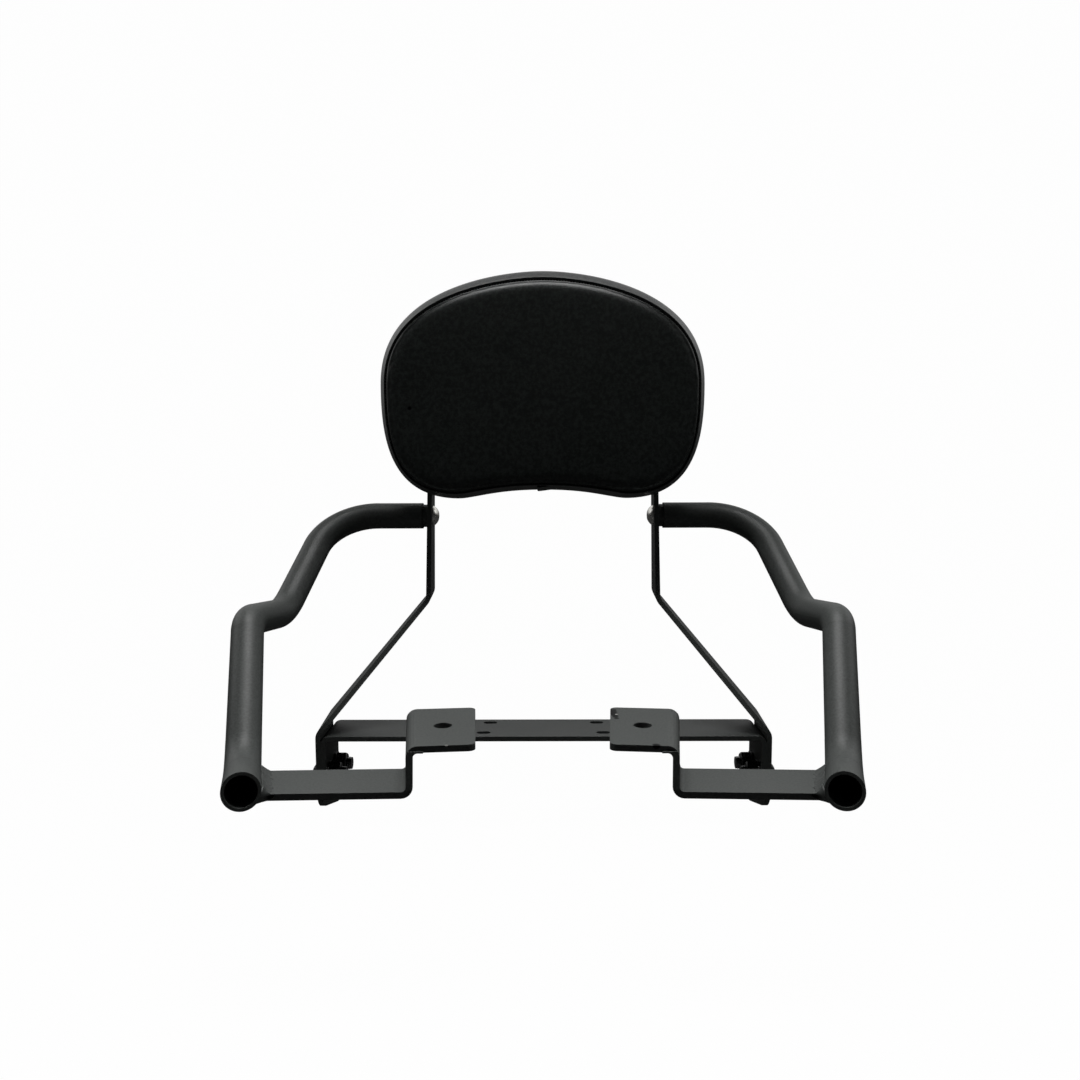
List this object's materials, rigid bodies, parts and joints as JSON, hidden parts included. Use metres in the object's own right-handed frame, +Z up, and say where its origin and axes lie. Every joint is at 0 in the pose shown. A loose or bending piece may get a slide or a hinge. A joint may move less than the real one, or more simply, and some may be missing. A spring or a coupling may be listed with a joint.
{
  "type": "motorcycle rider backrest",
  "caption": "Padded backrest on bent flat-bar uprights, tied by a slotted cross plate and held by two tube rails that bolt to the seat mounts.",
  "frame": {"origin": "midway between the two seat-bolt holes, on the top face of the rail plates", "axes": "+X to the rider's right as the picture shows it, +Y to the rear, +Z up"},
  "size_m": [0.4354, 0.3385, 0.4602],
  "materials": {
    "leatherette_front": "matt grained black leatherette",
    "leatherette_border": "matt black leatherette, softly stretched",
    "foam": "open-cell foam under the cover",
    "plywood": "raw plywood",
    "zinc_hardware": "zinc plated",
    "bright_bolt": "satin stainless",
    "black_fastener": "black oxide",
    "black_powder_coat": "satin black powder coat"
  },
  "bodies": {
    "root": {"pad_front_panel": "leatherette_front", "pad_border": "leatherette_border", "pad_foam": "foam", "pad_board": "plywood", "pad_back_panel": "leatherette_border", "tee_nut_1": "zinc_hardware", "tee_nut_2": "zinc_hardware", "tee_nut_3": "zinc_hardware", "tee_nut_4": "zinc_hardware", "pad_screw_1": "zinc_hardware", "pad_screw_2": "zinc_hardware", "pad_screw_3": "zinc_hardware", "pad_screw_4": "zinc_hardware", "pad_washer_1": "zinc_hardware", "pad_washer_2": "zinc_hardware", "pad_washer_3": "zinc_hardware", "pad_washer_4": "zinc_hardware", "carrier_plate": "black_powder_coat", "carrier_weld_left": "black_powder_coat", "carrier_weld_right": "black_powder_coat", "upright_left": "black_powder_coat", "upright_right": "black_powder_coat", "cross_plate": "black_powder_coat", "rail_tube_left": "black_powder_coat", "rail_tube_right": "black_powder_coat", "rail_bracket_left": "black_powder_coat", "rail_bracket_right": "black_powder_coat", "rail_weld_upper_left": "black_powder_coat", "rail_weld_upper_right": "black_powder_coat", "rail_weld_lower_left": "black_powder_coat", "rail_weld_lower_right": "black_powder_coat", "rail_plug_left": "black_powder_coat", "rail_plug_right": "black_powder_coat", "rail_bolt_left": "bright_bolt", "rail_bolt_right": "bright_bolt", "tab_bolt_front_left": "black_fastener", "tab_bolt_front_right": "black_fastener", "tab_bolt_rear_left": "black_fastener", "tab_bolt_rear_right": "black_fastener", "tab_washer_front_left": "black_fastener", "tab_washer_front_right": "black_fastener", "tab_washer_rear_left": "black_fastener", "tab_washer_rear_right": "black_fastener", "tab_nut_front_left": "black_fastener", "tab_nut_front_right": "black_fastener", "tab_nut_rear_left": "black_fastener", "tab_nut_rear_right": "black_fastener"}
  },
  "joints": []
}
